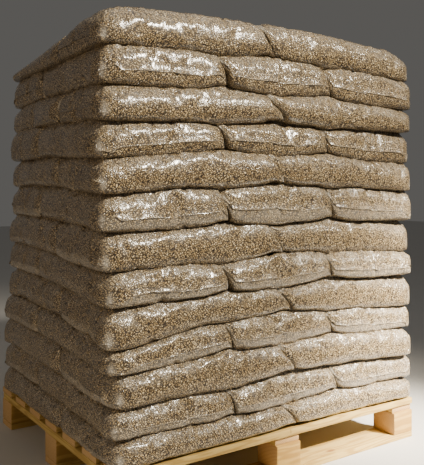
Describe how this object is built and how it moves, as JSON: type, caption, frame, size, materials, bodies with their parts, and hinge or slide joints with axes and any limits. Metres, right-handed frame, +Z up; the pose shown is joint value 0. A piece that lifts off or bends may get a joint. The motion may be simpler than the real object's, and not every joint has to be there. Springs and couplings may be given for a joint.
{
  "type": "pallet of sacks",
  "caption": "Wooden block pallet loaded with layers of flat clear-film sacks of wood pellets, laid in alternating bond.",
  "frame": {"origin": "on the floor under the centre of the pallet", "axes": "+Z up, X along the pallet's long side, Y along its short side"},
  "size_m": [1.2844, 1.0351, 1.437],
  "materials": {
    "sawn_pine": "new rough-sawn pine board, pale yellow with grain, knots and saw marks",
    "pine_block": "rough-sawn pine block, end grain on two faces",
    "filled_film": "clear glossy film, wrinkled, over golden tan wood pellets",
    "clear_film": "clear glossy film with nothing behind it, whitish at its folds and seals",
    "nail_steel": "dull flat nail head"
  },
  "bodies": {
    "root": {"block_row1_1": "pine_block", "block_row1_2": "pine_block", "block_row1_3": "pine_block", "block_row2_1": "pine_block", "block_row2_2": "pine_block", "block_row2_3": "pine_block", "block_row3_1": "pine_block", "block_row3_2": "pine_block", "block_row3_3": "pine_block", "bottom_board_1": "sawn_pine", "bottom_board_2": "sawn_pine", "bottom_board_3": "sawn_pine", "deck_board_1": "sawn_pine", "deck_board_2": "sawn_pine", "deck_board_3": "sawn_pine", "deck_board_4": "sawn_pine", "deck_board_5": "sawn_pine", "deck_board_6": "sawn_pine", "deck_board_7": "sawn_pine", "runner_board_1": "sawn_pine", "runner_board_2": "sawn_pine", "runner_board_3": "sawn_pine", "sack_layer_01": "filled_film", "sack_layer_02": "filled_film", "sack_layer_03": "filled_film", "sack_layer_04": "filled_film", "sack_layer_05": "filled_film", "sack_layer_06": "filled_film", "sack_layer_07": "filled_film", "sack_layer_08": "filled_film", "sack_layer_09": "filled_film", "sack_layer_10": "filled_film", "sack_layer_11": "filled_film", "sack_layer_12": "filled_film", "sack_layer_13": "filled_film"}
  },
  "joints": []
}
